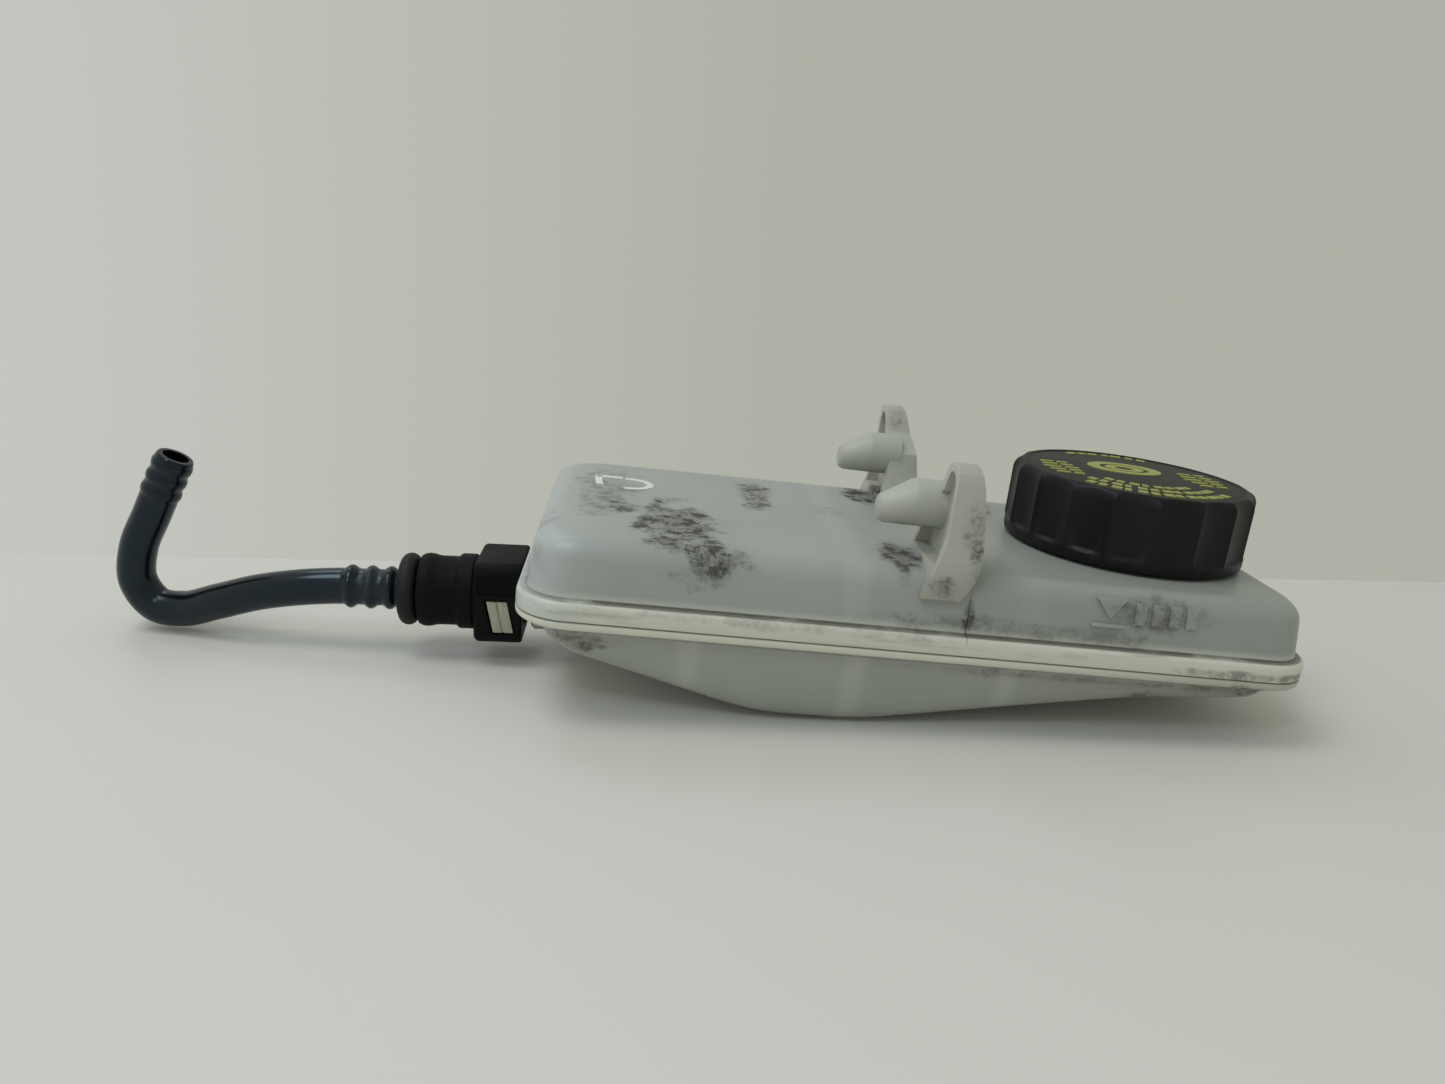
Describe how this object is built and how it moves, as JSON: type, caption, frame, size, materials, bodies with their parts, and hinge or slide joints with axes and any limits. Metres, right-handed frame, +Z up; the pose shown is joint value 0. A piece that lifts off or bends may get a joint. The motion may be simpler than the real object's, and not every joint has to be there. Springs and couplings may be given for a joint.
{
  "type": "brake fluid reservoir",
  "caption": "Translucent two-shell fluid reservoir with a screw cap, two pegged mounting ears, a swivelling quick connector and a formed outlet pipe.",
  "frame": {"origin": "middle of the base of the resting object's box: it lies on its keel and on the pipe's bend, as it does on a table", "axes": "+X from the pipe to the cap along the object's length, +Z up, +Y to the back, away from the side with the level mark; the shell's own level plane is tilted 3 degrees about +Y, cap end low"},
  "size_m": [0.2528, 0.077, 0.0555],
  "materials": {
    "translucent_shell": "milky translucent polypropylene, satin, with dirt in the seams",
    "natural_plastic": "uncoloured plastic, satin",
    "cap_plastic": "black moulded plastic, fine satin grain",
    "seal_rubber": "matt black rubber",
    "connector_plastic": "black glass-filled nylon, matt",
    "retainer_plastic": "cream plastic, dull",
    "pipe_nylon": "glossy black nylon pipe"
  },
  "bodies": {
    "reservoir": {"upper_shell": "translucent_shell", "lower_shell": "translucent_shell", "strainer": "natural_plastic"},
    "cap_seal": {"cap_gasket": "seal_rubber", "cap_diaphragm": "seal_rubber"},
    "cap": {"cap_shell": "cap_plastic", "cap_vent_plate": "cap_plastic"},
    "outlet_line": {"connector_housing": "connector_plastic", "retainer_ring": "retainer_plastic", "guide_bush": "natural_plastic", "o_ring_outer": "seal_rubber", "seal_spacer": "natural_plastic", "o_ring_inner": "seal_rubber", "dust_ring": "seal_rubber", "formed_pipe": "pipe_nylon"},
    "tab_front": {"retainer_tab_front": "retainer_plastic"},
    "tab_back": {"retainer_tab_back": "retainer_plastic"}
  },
  "joints": [
    {"name": "cap_lift", "type": "slide", "parent": "reservoir", "child": "cap_seal", "axis": [0.0523, 0, 0.9986], "range_m": [0, 0.01265]},
    {"name": "cap_turn", "type": "hinge", "parent": "cap_seal", "child": "cap", "pos_m": [0.098, 0, 0.04176], "axis": [0.0523, 0, 0.9986], "range_deg": [0, 1080]},
    {"name": "connector_swivel", "type": "hinge", "parent": "reservoir", "child": "outlet_line", "pos_m": [-0.041, 0, 0.0144], "axis": [1, 0, 0], "continuous": true},
    {"name": "tab_front_press", "type": "slide", "parent": "outlet_line", "child": "tab_front", "axis": [0, 1, 0], "range_m": [0, 0.0008], "stiffness_N_per_m": 600},
    {"name": "tab_back_press", "type": "slide", "parent": "outlet_line", "child": "tab_back", "axis": [0, -1, 0], "range_m": [0, 0.0008], "stiffness_N_per_m": 600}
  ],
  "couplings": [
    {"joint": "cap_lift", "follows": "cap_turn", "m_per_rad": 0.00066845},
    {"joint": "tab_back_press", "follows": "tab_front_press", "ratio": 1}
  ]
}
